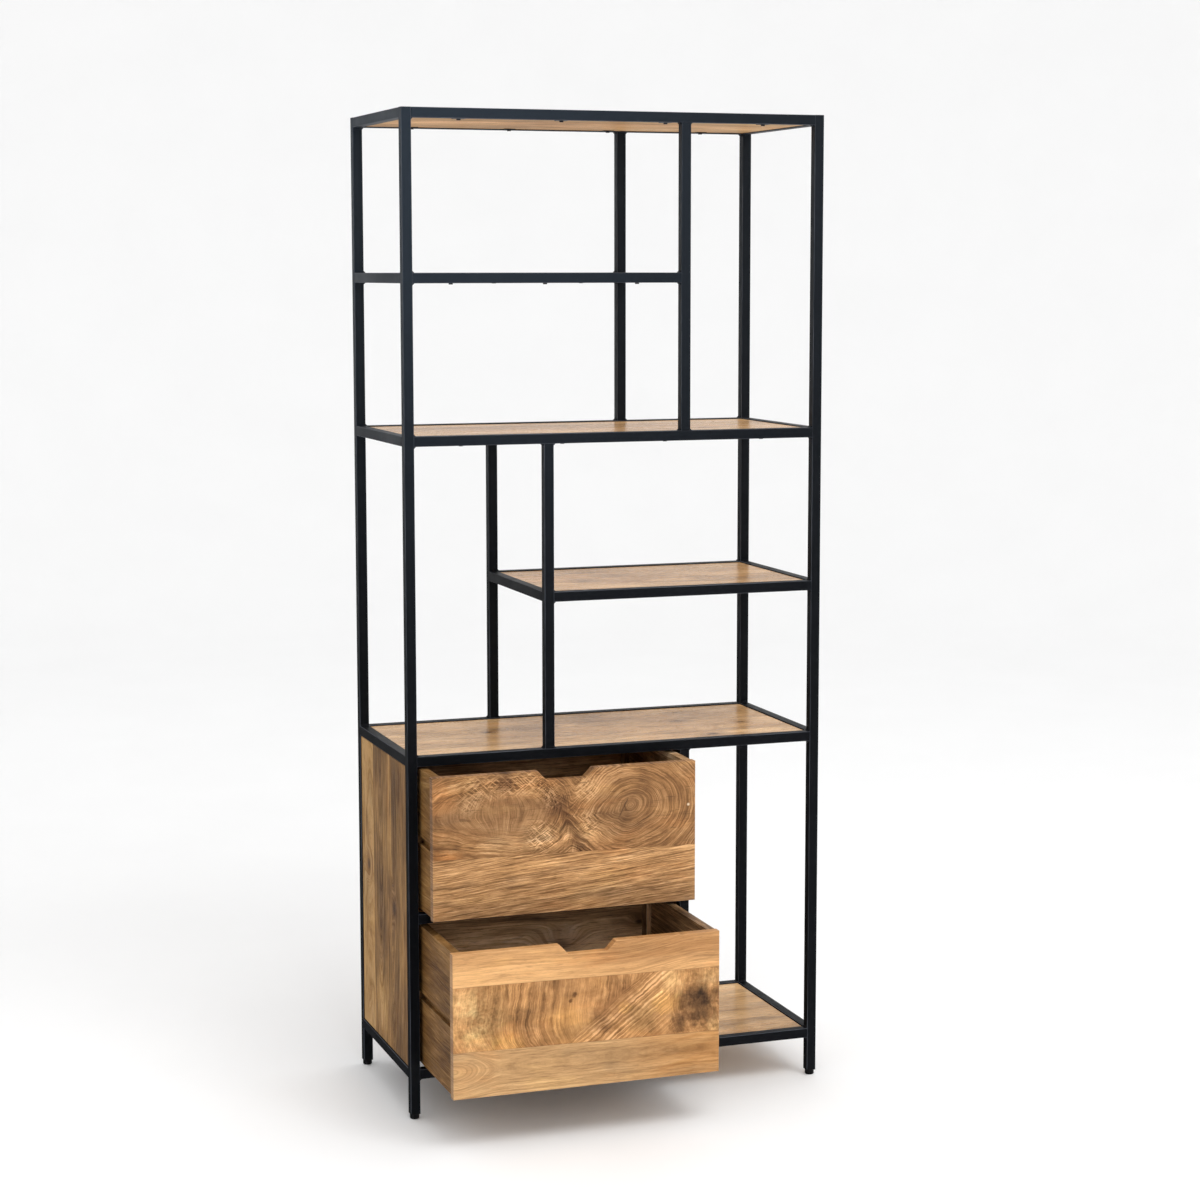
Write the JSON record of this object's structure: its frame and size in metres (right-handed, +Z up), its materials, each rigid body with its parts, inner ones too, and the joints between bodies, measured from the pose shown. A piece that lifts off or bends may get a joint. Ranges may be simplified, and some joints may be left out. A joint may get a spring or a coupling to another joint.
{
  "type": "bookcase with bottom drawers",
  "caption": "Tall open bookcase of black square steel tube with staggered wooden shelves, and a wooden cabinet of stacked drawers at the lower left.",
  "frame": {"origin": "on the floor, under the middle of the part as it stands with its drawers part open", "axes": "+X to the right and +Y to the back as seen from the front, +Z up; the drawers open towards -Y"},
  "size_m": [0.84, 0.595, 1.9],
  "materials": {
    "frame_steel": "satin black powder coat on square tube",
    "shelf_wood": "light oiled hardwood of glued planks",
    "front_wood": "figured hardwood of glued planks, satin lacquer",
    "side_wood": "upright hardwood planks, satin lacquer",
    "drawer_wood": "plain hardwood boards, satin",
    "foot_plastic": "moulded black plastic",
    "screw_steel": "black plated steel"
  },
  "bodies": {
    "frame": {"back_left_post": "frame_steel", "back_panel": "side_wood", "back_right_post": "frame_steel", "base_back_rail": "frame_steel", "base_front_rail": "frame_steel", "base_side_rails": "frame_steel", "bottom_shelf": "shelf_wood", "cabinet_back_post": "frame_steel", "cabinet_back_rail": "frame_steel", "cabinet_front_post": "frame_steel", "cabinet_front_rail": "frame_steel", "cabinet_side_rails": "frame_steel", "cabinet_top": "shelf_wood", "drawer_divider_rail": "frame_steel", "drawer_runners": "drawer_wood", "foot_plugs": "foot_plastic", "front_left_post": "frame_steel", "front_right_post": "frame_steel", "left_side_panel": "side_wood", "lower_back_post": "frame_steel", "lower_back_rail": "frame_steel", "lower_front_post": "frame_steel", "lower_front_rail": "frame_steel", "lower_shelf": "shelf_wood", "lower_side_rails": "frame_steel", "middle_back_rail": "frame_steel", "middle_front_rail": "frame_steel", "middle_shelf": "shelf_wood", "middle_side_rails": "frame_steel", "panel_screws": "screw_steel", "panel_tabs": "frame_steel", "right_side_panel": "side_wood", "runner_screws": "screw_steel", "top_back_rail": "frame_steel", "top_front_rail": "frame_steel", "top_panel": "shelf_wood", "top_side_rails": "frame_steel", "upper_back_post": "frame_steel", "upper_back_rail": "frame_steel", "upper_front_post": "frame_steel", "upper_front_rail": "frame_steel", "upper_shelf": "shelf_wood", "upper_side_rails": "frame_steel"},
    "upper_drawer": {"upper_drawer_back": "drawer_wood", "upper_drawer_bottom": "drawer_wood", "upper_drawer_corner_blocks": "drawer_wood", "upper_drawer_front": "front_wood", "upper_drawer_left_side": "drawer_wood", "upper_drawer_right_side": "drawer_wood"},
    "lower_drawer": {"lower_drawer_back": "drawer_wood", "lower_drawer_bottom": "drawer_wood", "lower_drawer_corner_blocks": "drawer_wood", "lower_drawer_front": "front_wood", "lower_drawer_left_side": "drawer_wood", "lower_drawer_right_side": "drawer_wood"},
    "back_left_foot": {"back_left_foot": "foot_plastic"},
    "back_right_foot": {"back_right_foot": "foot_plastic"},
    "front_left_foot": {"front_left_foot": "foot_plastic"},
    "front_right_foot": {"front_right_foot": "foot_plastic"}
  },
  "joints": [
    {"name": "upper_drawer_slide", "type": "slide", "parent": "frame", "child": "upper_drawer", "axis": [0, -1, 0], "range_m": [-0.0897, 0.171]},
    {"name": "lower_drawer_slide", "type": "slide", "parent": "frame", "child": "lower_drawer", "axis": [0, -1, 0], "range_m": [-0.2157, 0.045]},
    {"name": "back_left_foot_screw", "type": "hinge", "parent": "frame", "child": "back_left_foot", "pos_m": [-0.4105, 0.288, 0], "axis": [0, 0, 1], "continuous": true},
    {"name": "back_right_foot_screw", "type": "hinge", "parent": "frame", "child": "back_right_foot", "pos_m": [0.4105, 0.288, 0], "axis": [0, 0, 1], "continuous": true},
    {"name": "front_left_foot_screw", "type": "hinge", "parent": "frame", "child": "front_left_foot", "pos_m": [-0.4105, -0.073, 0], "axis": [0, 0, 1], "continuous": true},
    {"name": "front_right_foot_screw", "type": "hinge", "parent": "frame", "child": "front_right_foot", "pos_m": [0.4105, -0.073, 0], "axis": [0, 0, 1], "continuous": true}
  ]
}
